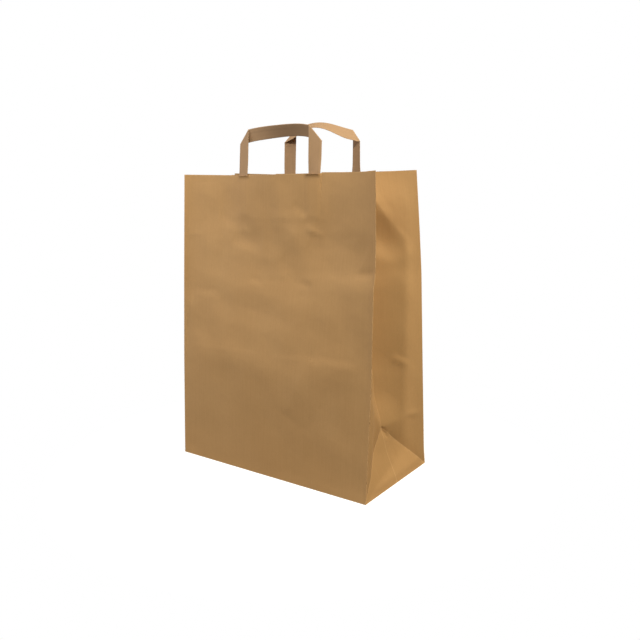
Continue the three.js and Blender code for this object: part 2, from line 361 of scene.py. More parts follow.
def panel_relief(panel, across, height):
    """Depth into the bag: creases, dents, waves and facets, less the marks and the seam."""
    seeds = panel["seeds"]
    depth = creased(across, height, panel["creases"], panel["dents"])
    depth = depth - handle_marks(across, height, panel["handle_centre"])
    depth = depth + panel["swell"] * waves(across, height, seeds["swell"], *swell_sizes)
    depth = depth + ripple_depth * waves(across, height, seeds["ripple"], *ripple_sizes)
    facets = crumple(across, height, seeds["facets"], panel["facets"])
    depth = depth + facets * (1 - panel["calm"] * (1 - rise(height, *calm_heights)))
    seam = rise(-across, -seam_edge - seam_soft, -seam_edge + seam_soft)
    return depth - panel["seam"] * seam


print("relief in the middle of the front: %.2f mm" % panel_relief(front_panel, 0.0, half_width))

# %% [markdown]
# Now the panel as a whole. Its place is worked out from the flat sheet, so the paper keeps
# its length: where a point leans in, it also comes down a little.

# %% From the flat sheet to the panel
bow_start = 150.0  # the bow begins at this height and is full at the rim
bow_soft = 9.0
belly_end = 330.0
crown_half_width = 100.0
crown_reach = 140.0
rim_dip = 1.6
right_dip_from = 0.3
side_fade = 6.0  # the relief fades out beside an upright fold
base_fade = 12.0  # and above the bottom fold


def bend_from(height, start, soft):
    """0 below start, then height above it, with a rounded bend of size `soft` between."""
    over = height - start
    return (over + np.sqrt(over**2 + soft**2)) / 2


def on_panel(panel, across, height, depth):
    """The place of a point on a panel, from its place on the flat sheet, in millimetres.

    The lean runs evenly from the left edge to the right one. The bow, 1 - share⁴, is flat in
    its middle and steep at the edges. The rise is what the lean leaves of the height:
    √(h² - lean²). The rim also dips a little between its ends.
    """
    share = across / half_width
    left = edge_lean(panel["left"], height)
    right = edge_lean(panel["right"], height)
    upward = height / panel_height
    bow_share = bend_from(height, bow_start, bow_soft) - bend_from(0, bow_start, bow_soft)
    bow = panel["bow"] * (1 - share**4) * bow_share / (panel_height - bow_start)
    crown_share = np.maximum((height - panel_height) / crown_reach + 1, 0)
    crown = np.maximum(1 - (across / crown_half_width) ** 2, 0) ** 2
    crown = panel["crown"] * crown * crown_share
    up_to_crease = np.minimum(height, packing_crease) / packing_crease
    above_crease = rise(-height, -belly_end, -packing_crease)
    belly = panel["belly"] * (1 - share**2) * up_to_crease * above_crease
    free = np.clip((half_width - np.abs(across)) / side_fade, 0, 1)
    free = free * np.clip(height / base_fade, 0, 1)
    relief = panel_relief(panel, across, np.minimum(height, panel_height)) * free
    lean = left * (1 - share) / 2 + right * (1 + share) / 2 + bow - crown - belly + relief
    dip = rim_dip * (1 - share**2) * upward**3
    dip = dip + panel["right_dip"] * rise(share, right_dip_from, 1) * upward**6
    up = np.sqrt(np.maximum(height**2 - lean**2, 0)) - dip
    along = across + 0 * up
    return np.stack([along, panel["facing"] * (half_depth - lean - depth), up], axis=-1)


middle = on_panel(front_panel, np.array([0.0]), np.array([panel_height]), 0)[0]
print("middle of the front rim at", np.round(middle, 1))

# %% [markdown]
# ## The gussets
#
# Each side of the bag folds inwards along its middle. Both halves keep their width of half
# the bag's depth, so where the edges lean closer together, the middle fold goes further in:
# √(half depth² - half gap²). Below the bag's half depth two creases rise at 45 degrees from
# the bottom corners and meet at the tip of a triangle, and above it one more crease runs on
# to the front edge. Dents and buckles are added outwards, along X.

# %% The middle fold and the tip of the bottom triangle
fold_sag = 2.0  # of the middle fold below the corners, at the rim
crease_top = 133.3  # where the crease above the triangle's tip meets the front edge


def between(a, b, share):
    """The point that lies this share of the way from a to b."""
    return a + (b - a) * share[..., None]


def edges_at(side, height):
    """The front and back edge of one side at these heights."""
    across = side * half_width + 0 * height
    return on_panel(front_panel, across, height, 0), on_panel(back_panel, across, height, 0)


def fold_point(side, height, sag):
    """The middle fold: as far in as the gap between the edges leaves, and `sag` lower."""
    front, back = edges_at(side, height)
    half_gap = (back[..., 1] - front[..., 1]) / 2
    inward = np.sqrt(np.maximum(half_depth**2 - half_gap**2, 0))
    x = side * (half_width - inward)
    y = (front[..., 1] + back[..., 1]) / 2
    z = (front[..., 2] + back[..., 2]) / 2 - sag
    return np.stack([x, y, z], axis=-1)


def triangle_tip(side):
    """Where both 45 degree creases meet: half the bag's depth from the base line."""
    flat = fold_point(side, np.array(half_depth), 0)
    inward = half_width - side * flat[0]
    return np.array([flat[0], flat[1], np.sqrt(half_depth**2 - inward**2)])


for side in (-1, 1):
    print("triangle tip at", np.round(triangle_tip(side), 1))

# %% Creases and dents of the gussets, at places (around, height), with their depth outwards
right_gusset_creases = [
    ((81, 79), (90, 62), 3, 5, -2.6),
    ((89, 66), (92, 30), 9, 12, -0.9),
    ((110, 168), (136, 153), 5, 7, 1.1),
    ((126, 84), (158, 79), 5, 5, 0.7),
    ((60, 120), (20, 60), 14, 14, 0.8),
    ((20, 300), (60, 250), 26, 20, 1.5),
    ((24, 150), (66, 190), 20, 20, -1.2),
    ((80, 408), (146, 296), 12, 18, 1.8),
]
right_gusset_dents = [
    ((80, 82), (46, 46), 0, 5.0),
    ((110, 328), (38, 32), -0.7, -4.8),
]
left_gusset_creases = [
    ((80, 79), (70, 58), 4, 4, -1.8),
    ((24, 166), (58, 150), 6, 6, 1.0),
    ((110, 290), (150, 250), 22, 26, 1.8),
    ((20, 330), (62, 300), 20, 24, -1.6),
    ((100, 160), (130, 200), 20, 20, 1.2),
]
left_gusset_dents = [
    ((80, 82), (46, 46), 0, 2.5),
    ((52, 280), (40, 60), 0, 4.0),
    ((118, 330), (34, 44), 0, -3.0),
]
print(len(right_gusset_creases), "creases on the right,", len(left_gusset_creases), "on the left")

# %% The relief of the gussets
leaf_out = 4.6  # a long leaf swells out of the right gusset's back half, below its dent
leaf_middle = 112.0
leaf_half_width = 46.0
leaf_start = (100, 286)
leaf_end = (290, 322)
rim_tuck = 3.5  # and its rim is drawn in
rim_tuck_heights = (370, 414)
foot_bulge = ((22, 84), (22, 60), 1.2)  # beside its front edge, low down
gusset_swell = 0.35
gusset_swell_sizes = (50, 130)
gusset_seed = 21
gusset_facets = 0.013
gusset_facet_seed = 28
roll_out = 1.3  # the paper rolls out of the front fold before it turns in
roll_peak = 2.5
roll_end = 14.0
roll_heights = (150, 260)
gusset_fade = 22.0


def right_swelling(around, height):
    """A leaf (1 - r²)² across, slow to rise and quick to end, less the tuck at the rim."""
    r = np.clip((around - leaf_middle) / leaf_half_width, -1, 1)
    upward = rise(height, *leaf_start) * rise(-height, -leaf_end[1], -leaf_end[0])
    return leaf_out * upward * (1 - r**2) ** 2 - rim_tuck * rise(height, *rim_tuck_heights)


def gusset_relief(side, around, height):
    """How far a gusset's dents stand out. They fade to nothing at the two upright edges."""
    roll = rise(around, 0, roll_peak) * rise(-around, -roll_end, -roll_peak)
    beside_fold = roll_out * roll * rise(height, *roll_heights)
    if side > 0:
        out = creased(around, height, right_gusset_creases, right_gusset_dents)
        out = out + right_swelling(around, height)
        centre, size, bulge = foot_bulge
        beside_fold = beside_fold + bulge * bell(around, height, centre, size)
    else:
        out = creased(around, height, left_gusset_creases, left_gusset_dents)
    out = out + gusset_swell * waves(around, height, gusset_seed + side, *gusset_swell_sizes)
    out = out + crumple(around, height, gusset_facet_seed + side, gusset_facets)
    from_edge = np.minimum(around, bag_depth - around)
    out = out * rise(from_edge, 0, gusset_fade) + beside_fold
    return out * rise(height, 0, base_fade)


print("the leaf stands %.1f mm out" % right_swelling(leaf_middle, leaf_start[1]))

# %% From the flat sheet to the gusset
def below_tip(side, around, height, front, back):
    """The bottom triangle and the two facets beside it, up to the bag's half depth."""
    tip = triangle_tip(side)
    corner_front = np.array([side * half_width, -half_depth, 0.0])
    corner_back = np.array([side * half_width, half_depth, 0.0])
    tip_share = height / half_depth
    crease_front = corner_front + (tip - corner_front) * tip_share[..., None]
    crease_back = corner_back + (tip - corner_back) * tip_share[..., None]
    low_height = np.maximum(height, tiny)
    floor_width = np.maximum(bag_depth - 2 * height, tiny)
    at_front = between(front, crease_front, around / low_height)
    at_back = between(back, crease_back, (bag_depth - around) / low_height)
    at_floor = between(crease_front, crease_back, (around - height) / floor_width)
    below = np.where((around < height)[..., None], at_front, at_floor)
    return np.where((bag_depth - around < height)[..., None], at_back, below)


def above_tip(side, around, height, front, back):
    """Both halves above the tip, the front one broken by the crease that runs up from it."""
    tip = triangle_tip(side)
    tip_sag = half_depth - tip[2]
    to_rim = np.clip((height - half_depth) / (panel_height - half_depth), 0, 1)
    fold = fold_point(side, height, tip_sag + (fold_sag - tip_sag) * to_rim)
    fold = np.where((height <= half_depth)[..., None], tip, fold)
    upper_end = edges_at(side, np.array(crease_top))[0]
    up_crease = (height - half_depth) / (crease_top - half_depth)
    crease = between(tip, upper_end, up_crease)
    to_crease = np.maximum(half_depth * (1 - up_crease), tiny)
    past_crease = (around - to_crease) / np.maximum(half_depth - to_crease, tiny)
    under_crease = between(front, crease, around / to_crease)
    over_crease = between(crease, fold, past_crease)
    creased_half = np.where((around <= to_crease)[..., None], under_crease, over_crease)
    front_half = between(front, fold, around / half_depth)
    front_half = np.where((height >= crease_top)[..., None], front_half, creased_half)
    back_half = between(fold, back, (around - half_depth) / half_depth)
    return np.where((around >= half_depth)[..., None], back_half, front_half)


def on_gusset(side, around, height):
    """The place of a point on a gusset, from its place on the flat sheet.

    Each facet is straight between its creases, so a point lies on the line between the two
    creases, or the crease and the edge, that bound its facet at its height.
    """
    front, back = edges_at(side, height)
    below = below_tip(side, around, height, front, back)
    above = above_tip(side, around, height, front, back)
    place = np.where((height < half_depth)[..., None], below, above)
    place[..., 0] += side * gusset_relief(side, around, height)
    return place


middle = on_gusset(1, np.array([half_depth]), np.array([panel_height]))[0]
print("middle of the right rim at", np.round(middle, 1))

# %% [markdown]
# ## From a grid to a mesh
#
# A sheet of paper has two faces and an edge all round. The outer face is the grid, the inner
# face is the same grid moved in along its normals, and each border edge gets a wall. This is
# done for whole arrays at once, and the same helpers serve every sheet here.

# %% Helpers for sheets
def vertex_normals(points, triangles):
    """The sum of the normals of the triangles round each point, made one long."""
    a, b, c = (points[triangles[:, k]] for k in range(3))
    face = np.cross(b - a, c - a)
    total = np.zeros_like(points)
    for k in range(3):
        np.add.at(total, triangles[:, k], face)
    length = np.linalg.norm(total, axis=1, keepdims=True)
    return total / np.maximum(length, tiny**2)


def thicken(points, triangles, thickness):
    """Both faces of a sheet and the walls along its border, facing out."""
    count = len(points)
    inner = points - thickness * vertex_normals(points, triangles)
    edges = np.concatenate([triangles[:, [0, 1]], triangles[:, [1, 2]], triangles[:, [2, 0]]])
    forward = edges[:, 0] * count + edges[:, 1]
    backward = edges[:, 1] * count + edges[:, 0]
    a, b = edges[~np.isin(forward, backward)].T
    walls = np.concatenate([np.stack([b, a, a + count], 1), np.stack([b, a + count, b + count], 1)])
    faces = np.concatenate([triangles, triangles[:, ::-1] + count, walls])
    return np.concatenate([points, inner]), faces


def grid_cells(rows, columns):
    """The four corners of each cell of a grid, anticlockwise from the lower left one."""
    index = np.arange(rows * columns).reshape(rows, columns)
    corners = [index[:-1, :-1], index[:-1, 1:], index[1:, 1:], index[1:, :-1]]
    return np.stack([corner.ravel() for corner in corners], axis=1)


def split_cells(cells, rising):
    """Two triangles for each cell, along the diagonal that rises or the one that falls."""
    a, b, c, d = cells.T
    up = np.concatenate([np.stack([a, b, c], 1), np.stack([a, c, d], 1)])
    down = np.concatenate([np.stack([a, b, d], 1), np.stack([b, c, d], 1)])
    rises = np.tile(np.broadcast_to(rising, len(cells)), 2)[:, None]
    return np.where(rises, up, down)


def make_piece(name, points, faces, sheet, to_fold, sharp_above):
    """A mesh object of these points, in millimetres.

    sheet is each point's place on the flat paper, kept as the UV map in metres, and to_fold
    its distance from the nearest fold, kept as an attribute for the painted highlight along the
    folds.
    """
    mesh = bpy.data.meshes.new(name)
    mesh.from_pydata((points * MM).tolist(), [], faces.tolist())
    uv = mesh.uv_layers.new(name="sheet")
    corner_points = np.empty(len(mesh.loops), np.int32)
    mesh.loops.foreach_get("vertex_index", corner_points)
    uv.data.foreach_set("uv", (sheet * MM)[corner_points].ravel())
    distance = mesh.attributes.new("to_fold", "FLOAT", "POINT")
    distance.data.foreach_set("value", to_fold)
    mesh.shade_smooth()
    mesh.set_sharp_from_angle(angle=np.radians(sharp_above))
    piece = bpy.data.objects.new(name, mesh)
    bpy.context.scene.collection.objects.link(piece)
    print(name, len(mesh.polygons), "faces")
    return piece


print("a grid of 2 x 2 cells has", len(split_cells(grid_cells(3, 3), True)), "triangles")

# %% [markdown]
# ## The bag's sheet
#
# The grid runs once round the bag and up from the base to the rim. Up to the bag's depth its
# cells in the gussets are square, so each 45 degree crease runs along the cells' diagonals
# and stays sharp. Extra columns lie close beside the folds, the seam and the tear, and the
# rows are finer near the rim, where the paper curls out over the handle's legs.

# %% The columns of the grid
front_step = 2.5
back_step = 5.0
gusset_cells = 48
beside_panel_fold = 0.5  # the extra columns beside an upright fold
beside_gusset_fold = 1.5
tear_beside_leg = 3.6
tear_across = legs_outer + tear_beside_leg
tear_length = 19.0
tear_half_width = 0.9
tear_sides = [tear_across - tear_half_width, tear_across + tear_half_width]
seam_columns = [seam_edge - seam_soft, seam_edge + seam_soft]


def panel_columns(step, extra):
    """Places across a panel, with extra columns near the folds and wherever they are asked."""
    even = np.arange(-half_width, half_width, step)
    near = [-half_width + beside_panel_fold, half_width - beside_panel_fold]
    return np.unique(np.round(np.concatenate([even, near, extra]), 4))


front_columns = panel_columns(front_step, tear_sides)
back_columns = panel_columns(back_step, seam_columns)[1:]
back_columns = np.append(back_columns, half_width)[::-1]
gusset_columns = np.linspace(0, bag_depth, gusset_cells, endpoint=False)
gusset_columns = np.insert(gusset_columns, 1, beside_gusset_fold)
print(len(front_columns), "columns in front,", len(gusset_columns), "in each gusset")

# %% The rows of the grid
fine_rows_from = 398.0
fine_rows = 13
row_step = bag_depth / gusset_cells
high_count = round((fine_rows_from - bag_depth) / row_step)
low_rows = np.linspace(0, bag_depth, gusset_cells, endpoint=False)
high_rows = np.linspace(bag_depth, fine_rows_from, high_count, endpoint=False)
rim_rows = np.linspace(fine_rows_from, panel_height, fine_rows)
row_heights = np.concatenate([low_rows, high_rows, rim_rows])
print(len(row_heights), "rows")

# %% [markdown]
# At each leg the last few millimetres of the front rim are not pasted, and they curl out
# around a level line. The curl is an arc: a length s past its start turns by s / radius, so
# it goes out by radius (1 - cos) and up by radius sin. Beside the right leg the rim is torn,
# and the paper on the torn side hangs a little lower.

# %% The curl and the tear of the front rim
curl_length = 6.0
curl_start = panel_height - curl_length
curl_radius = 8.0
curl_past_leg = (0.5, 3.5)  # the curl fades out between these distances beside a leg
torn_drop = 0.6  # how far the rim hangs lower on the handle's side of the tear
torn_lift = 1.0  # and how far it stands higher on the other side
torn_push = 1.0  # the tucked leg behind it pushes it out
drop_from = (-96, -78)  # the patch's left end
push_from = (20, 45)


def curl_share(across):
    """Where the rim curls: over both legs and a little beside them."""
    past_leg = np.abs(np.abs(across) - leg_spacing / 2) - tape_width / 2
    return rise(-past_leg, -curl_past_leg[1], -curl_past_leg[0])


def curl(place, across, height):
    """Bends the paper over the legs out of the bag."""
    past = np.maximum(height - curl_start, 0)
    turn = past / curl_radius * curl_share(across)
    radius = past / np.maximum(turn, tiny)
    place[..., 1] -= np.where(turn > tiny, radius * (1 - np.cos(turn)), 0)
    place[..., 2] -= np.where(turn > tiny, past - radius * np.sin(turn), 0)


def droop(place, across, height):
    """Lowers the rim from the patch's left end to the tear, and lifts it from there on."""
    lower = rise(across, *drop_from) * (across < tear_across)
    higher = (across > tear_across) * rise(-across, -half_width, -tear_across)
    near_rim = rise(height, panel_height - 2 * tear_length, panel_height)
    place[..., 2] += (torn_lift * higher - torn_drop * lower) * near_rim
    place[..., 1] -= torn_push * lower * near_rim * rise(across, *push_from)


print("the rim is torn %.1f mm from its middle" % tear_across)

# %% The grid of the bag's sheet
tear_spread = 2.0  # how fast the tear opens above its root
tear_root = 0.05
row_height = row_heights[:, None]


def front_wall(height):
    """The front panel's points, its tear opening towards the rim."""
    across = front_columns + 0 * height
    opened = tear_spread * (height - panel_height + tear_length) / tear_length
    opened = np.clip(opened, tear_root, 1)
    from_tear = across - tear_across
    at_tear = np.abs(np.abs(from_tear) - tear_half_width) < same_place
    torn_across = tear_across + np.sign(from_tear) * tear_half_width * opened
    across = np.where(at_tear, torn_across, across)
    place = on_panel(front_panel, across, height, 0)
    curl(place, across, height)
    droop(place, across, height)
    return place


around_right = gusset_columns + 0 * row_height
across_back = back_columns[:-1] + 0 * row_height
walls = [
    front_wall(row_height),
    on_gusset(1, around_right, row_height + 0 * around_right),
    on_panel(back_panel, across_back, row_height + 0 * across_back, 0),
    on_gusset(-1, bag_depth - around_right, row_height + 0 * around_right),
]
ring = np.concatenate(walls, axis=1)
ring = np.concatenate([ring, ring[:, :1]], axis=1)
rows, columns = ring.shape[:2]
print("grid of", rows, "x", columns)

# %% [markdown]
# The distance to the nearest fold is kept at each point, because the material paints a fold a
# little paler, a painted highlight where the fold catches the light. A distance is a straight
# function beside its fold, and the folds run along the edges of the cells, so the mesh carries
# it exactly.

# %% Distances to the folds
right_start = half_width
back_start = half_width + bag_depth
left_start = 3 * half_width + bag_depth
round_end = 3 * half_width + 2 * bag_depth
upright_folds = [-half_width, right_start, back_start, left_start, round_end]
upright_folds += [right_start + half_depth, left_start + half_depth]
stretches = [
    front_columns,
    right_start + gusset_columns,
    back_start + half_width - back_columns[:-1],
    left_start + gusset_columns,
    [round_end],
]
perimeter = np.concatenate(stretches)


def fold_distances(around_bag, height):
    """The least distance, on the flat sheet, to an upright fold, a 45 degree crease or the rim."""
    distance = np.minimum(height, panel_height - height)
    for fold in upright_folds:
        distance = np.minimum(distance, np.abs(around_bag - fold))
    for start in (right_start, left_start):
        around = around_bag - start
        to_front = np.abs(around - height) / np.sqrt(2)
        to_back = np.abs(bag_depth - around - height) / np.sqrt(2)
        nearest = np.minimum(to_front, to_back)
        has_crease = (around >= 0) & (around <= bag_depth) & (height <= half_depth)
        distance = np.where(has_crease, np.minimum(distance, nearest), distance)
    return distance


grid_around = perimeter + 0 * row_height
grid_height = row_height + 0 * perimeter
to_fold = fold_distances(grid_around, grid_height)
print("furthest from a fold: %.0f mm" % to_fold.max())

# %% Splitting the cells and opening the tear
def rises_along_crease(left, bottom):
    """Whether the diagonal that rises to the right lies along the crease that crosses a cell."""
    in_right = (left >= right_start) & (left < back_start)
    in_left = left >= left_start
    first_half = np.where(in_right, left - right_start, left - left_start) < half_depth
    low_part = bottom < half_depth - tiny
    right_rises = first_half & low_part
    left_rises = first_half | ~low_part
    return np.where(in_right, right_rises, np.where(in_left, left_rises, True))


cells = grid_cells(rows, columns)
cell_left = perimeter[cells[:, 0] % columns]
cell_low = row_heights[cells[:, 0] // columns]
in_tear = (np.abs(cell_left - tear_sides[0]) < same_place) & (cell_low >= panel_height - tear_length)
rising = rises_along_crease(cell_left, cell_low)
triangles = split_cells(cells[~in_tear], rising[~in_tear])
last = triangles % columns == columns - 1
triangles = np.where(last, triangles - columns + 1, triangles)
sheet_points = ring.reshape(-1, 3)
print(len(triangles), "triangles on the outside,", int(in_tear.sum()), "cells torn open")

# %% [markdown]
# ## The block bottom
#
# The end of the tube is folded into a rectangle: a triangle from each gusset lies inside, and
# the front and back flaps are folded over them with slanted ends and pasted where they
# overlap along the middle. Each is a flat sheet of its own height, so the edges of the flaps
# show from below and from inside.

# %% The flaps of the bottom
flap_overlap = 14.0  # each flap reaches this far past the middle line
flap_inset = 0.4  # from the bag's own walls
flap_blunt = 14.0  # half the width of an end flap's inner edge
flap_ply = paper + 0.01
flap_width = half_width - flap_inset
flap_depth = half_depth - flap_inset


def flap(corners, level):
    """A flat four-cornered sheet at a height above the ground, facing down."""
    x, y = np.array(corners, float).T
    points = np.stack([x, y, level + 0 * x], axis=1)
    return thicken(points, np.array([[0, 2, 1], [0, 3, 2]]), paper)


def long_flap(facing, level):
    """A front or back flap: as wide as the bag at its fold, with ends that slant at 45 degrees."""
    edge = facing * flap_depth
    far = -facing * flap_overlap
    narrow = flap_width - abs(far - edge)
    corners = [(-flap_width, edge), (flap_width, edge), (narrow, far), (-narrow, far)]
    return flap(corners if facing < 0 else corners[::-1], level)


def end_flap(side, level):
    """The gusset's part of the bottom: its fold line, and a blunt triangle inside."""
    edge = side * flap_width
    far = side * half_depth
    corners = [(edge, -flap_depth), (edge, flap_depth), (far, flap_blunt), (far, -flap_blunt)]
    return flap(corners if side > 0 else corners[::-1], level)


flaps = [
    long_flap(1, 0.0),
    long_flap(-1, flap_ply),
    end_flap(1, 2 * flap_ply),
    end_flap(-1, 2 * flap_ply),
]
print(len(flaps), "flaps")

# %% The whole bag as one piece
fold_sharpness = 24  # degrees
far_from_folds = 10.0
bag_points, bag_faces = thicken(sheet_points, triangles, paper)
sheet_place = np.stack([grid_around.ravel(), grid_height.ravel()], axis=1)
sheet_place = np.concatenate([sheet_place, sheet_place])
fold_distance = np.concatenate([to_fold.ravel(), to_fold.ravel()])
for flap_points, flap_faces in flaps:
    bag_faces = np.concatenate([bag_faces, flap_faces + len(bag_points)])
    bag_points = np.concatenate([bag_points, flap_points])
    flat_place = flap_points[:, :2] * [1, -1] - [0, half_depth]
    sheet_place = np.concatenate([sheet_place, flat_place])
    fold_distance = np.concatenate([fold_distance, far_from_folds + 0 * flap_points[:, 0]])

bag = make_piece("bag_sheet", bag_points, bag_faces, sheet_place, fold_distance, fold_sharpness)

# %% [markdown]
# ## The handles
#
# A handle is one long tape, folded from a strip so that it is five layers thick. It is folded
# over twice on a slanted line, which turns an upright leg into a level bar and then into the
# other leg. A fold that was pressed flat would leave the bar flat behind the legs. These
# folds have sprung open, so the bar leans over and swings away.
#
# The slant s is how far the fold line climbs for each millimetre across, 1 at 45 degrees.
# Let f point up along the fold line, m square to it, down and towards the handle's middle,
# and N into the bag. Opening the fold by an angle turns the tape beyond it about f, and m
# becomes g = cos m + sin N. The bar leaves along s·f + g, and its width lies along f - s·g.

# %% Helpers for the tape
leg_middle = paper + glue_line + tape_thickness / 2  # depth of a leg behind the panel's face
fold_radius = tape_thickness / 2 + 0.05
seam_along_tape = 3.0  # the strip's last layer ends this far from the tape's middle
seam_along_soft = 0.5
ply_step = 0.14
tape_columns = 15
edge_angles = np.radians([90, 60, 35, 0])  # round the tape's edge, from its outermost line
up_axis = np.array([0.0, 0.0, 1.0])


def unit(vector):
    """The same direction, one long."""
    return vector / np.linalg.norm(vector, axis=-1, keepdims=True)


def tape_places():
    """Places across the tape, close together at both edges, where it is rounded."""
    edge = tape_width / 2 - tape_thickness / 2 * (1 - np.sin(edge_angles))
    inside = np.linspace(edge[-1], -edge[-1], tape_columns)[1:-1]
    return np.concatenate([-edge, -inside, edge[::-1]])


def tape_half_thickness(places):
    """Half the tape's thickness: a half circle at its edges, flat between."""
    over = np.maximum(np.abs(places) - tape_width / 2 + tape_thickness / 2, 0)
    return np.sqrt(np.maximum((tape_thickness / 2) ** 2 - over**2, 0))


print(len(tape_places()), "places across the tape")

# %% Where a leg runs
sway_reach = 17.0  # a leg leans out most at the rim, and no more this far from it
turn_reach = 24.0  # its turn grows over this height
slew_from = 20.0  # height above the rim where a slewed leg is in its place
probe = 3.0  # a short step to measure a direction with


def leg_point(panel, handle, side, inwards, height):
    """A point on the middle of a leg. inwards is its place across, towards the handle's middle.

    Above the rim the leg turns about an upright line, its inner edge out of the bag. Just
    above the rim it also leans out a little, as far as a slight crease across it.
    """
    spread = handle["turns"][side]
    turn_from = panel_height + handle["turn_from"]
    grow = rise(height, turn_from, turn_from + turn_reach)
    sway = handle["sway"][side] * np.maximum(1 - np.abs(height - panel_height) / sway_reach, 0)
    centre = handle["centre"] + side * leg_spacing / 2 + handle["moved"][side]
    centre = centre + handle["slew"] * (height - panel_height - slew_from)
    across = centre - side * inwards * (1 - (1 - np.cos(spread)) * grow)
    depth = leg_middle - inwards * np.tan(spread) * grow - sway
    return on_panel(panel, across, height, depth)


def mitre_frame(panel, handle, side):
    """The middle of a mitre, and the directions towards the handle's middle, up and inwards."""
    at = panel_height + handle["corners"][side] + handle["slants"][side] * tape_width / 2
    zero = np.array(0.0)
    here = leg_point(panel, handle, side, zero, np.array(at))
    up = unit(here - leg_point(panel, handle, side, zero, np.array(at - probe)))
    inner = leg_point(panel, handle, side, zero + probe, np.array(at)) - here
    inner = unit(inner - up * (inner @ up))
    inwards = np.cross(inner, up)
    return here, inner, up, inwards * np.sign(inwards[1] * -panel["facing"])


print("a leg's middle lies %.2f mm behind the panel's face" % leg_middle)

# %% The parts of a handle
def leg_rows(panel, handle, side, places, count=60):
    """A leg from its lower end up to its fold line, which slants up to its inner edge."""
    share = np.linspace(0, 1, count)[:, None]
    slanted = handle["slants"][side] * (tape_width / 2 + places)
    height = leg_foot + share * (panel_height + handle["corners"][side] + slanted - leg_foot)
    return leg_point(panel, handle, side, places + 0 * share, height)


def fold_rows(last_row, frame, slant, opening, count=9):
    """The tape round the fold: a half circle less the opening, about the slanted line."""
    here, inner, up, inwards = frame
    slope = unit(slant * inner - up)
    turn = np.linspace(0, np.pi - opening, count)[1:, None, None]
    spoke = -np.cos(turn) * inwards - np.sin(turn) * slope
    return last_row + fold_radius * inwards + fold_radius * spoke


def bar_ends(frame, slant, opening):
    """Where the bar starts, and its directions along and across, once its fold has opened."""
    here, inner, up, inwards = frame
    fold = unit(inner + slant * up)
    flat_slope = unit(slant * inner - up)
    slope = np.cos(opening) * flat_slope + np.sin(opening) * inwards
    facing = np.cos(opening) * inwards - np.sin(opening) * flat_slope
    start = here + fold_radius * (inwards + facing)
    return start, unit(slant * fold + slope), unit(fold - slant * slope)


def hermite(a, b, leave, arrive, t):
    """The cubic from a to b that leaves along one direction and arrives along the other."""
    middle_part = a * (2 * t**3 - 3 * t**2 + 1) + b * (3 * t**2 - 2 * t**3)
    return middle_part + leave * (t**3 - 2 * t**2 + t) + arrive * (t**3 - t**2)


def bar_rows(handle, left, right, places, inwards, count=110):
    """The bar between both fold lines: straight through each mitre, and a cubic between.

    Its width turns evenly from one end to the other and leans out further in the middle.
    """
    start, leave, across_left = left
    end, arrive, across_right = right
    straight = tape_width / 2
    first = start + straight * leave
    last = end + straight * arrive
    reach = np.linalg.norm(last - first)
    share = np.linspace(0, 1, count)[1:-1, None]
    slants = handle["slants"]
    trimmed = (slants[-1] + slants[1]) * places
    along = slants[-1] * places + share * (leg_spacing - trimmed)
    t = np.clip((along - straight) / (leg_spacing - 2 * straight), 0, 1)[..., None]
    centre = hermite(first, last, leave * reach, -arrive * reach, t)
    hump = 16 * t**2 * (1 - t) ** 2
    centre = centre + hump * (handle["rise"] * up_axis + handle["swing"] * inwards)
    before = np.minimum(along - straight, 0)[..., None]
    after = np.minimum(leg_spacing - straight - along, 0)[..., None]
    centre = centre + before * leave + after * arrive
    turned = rise(t, 0, 1)
    width = across_left * (1 - turned) + across_right * turned - handle["lean"] * hump * inwards
    return centre + places[:, None] * unit(width)


print("a fold's radius is %.2f mm" % fold_radius)

# %% [markdown]
# The tape's middle becomes a closed skin: a loop of points round each row, quads between the
# rows, and a cap at each end. At both edges of a cap two corners are the same point, so those
# triangles have no area and are left out.

# %% The skin of the tape
handle_sharpness = 40  # degrees


def two_triangles(quads):
    """Each four-cornered face as two triangles, without those that use a point twice."""
    a, b, c, d = quads.T
    faces = np.concatenate([np.stack([a, b, c], 1), np.stack([a, c, d], 1)])
    return faces[(faces != np.roll(faces, 1, axis=1)).all(axis=1)]


def tape_mesh(middle_points, places):
    """A closed tape round these middle points, with how many rows it has and points round it.

    The front face stands up by one layer where the strip's last layer lies over the others.
    """
    along = np.gradient(middle_points, axis=0)
    across = np.gradient(middle_points, axis=1)
    normal = unit(np.cross(along, across))
    half = tape_half_thickness(places)[:, None]
    covered = rise(places, seam_along_tape, seam_along_tape + seam_along_soft)[:, None]
    step = ply_step * covered * np.minimum(half / half.max(), 1)
    front = middle_points + normal * (half + step)
    back = middle_points - normal * half
    loop = np.concatenate([front, back[:, -2:0:-1]], axis=1)
    rows, around = loop.shape[:2]
    index = np.arange(rows * around).reshape(rows, around)
    turned = np.roll(index, -1, axis=1)
    corners = [index[:-1], turned[:-1], turned[1:], index[1:]]
    skin = np.stack([corner.ravel() for corner in corners], axis=1)
    k = np.arange(len(places) - 1)
    end = np.stack([k, k + 1, (around - k - 1) % around, (around - k) % around], axis=1)
    far_end = end[:, ::-1] + (rows - 1) * around
    caps = two_triangles(np.concatenate([end, far_end]))
    return loop.reshape(-1, 3), np.concatenate([two_triangles(skin), caps[:, ::-1]]), rows, around


def signed_volume(points, faces):
    """The volume inside a closed mesh, below 0 if its faces point inwards."""
    a, b, c = (points[faces[:, k]] for k in range(3))
    return np.einsum("ij,ij->i", a, np.cross(b, c)).sum() / 6


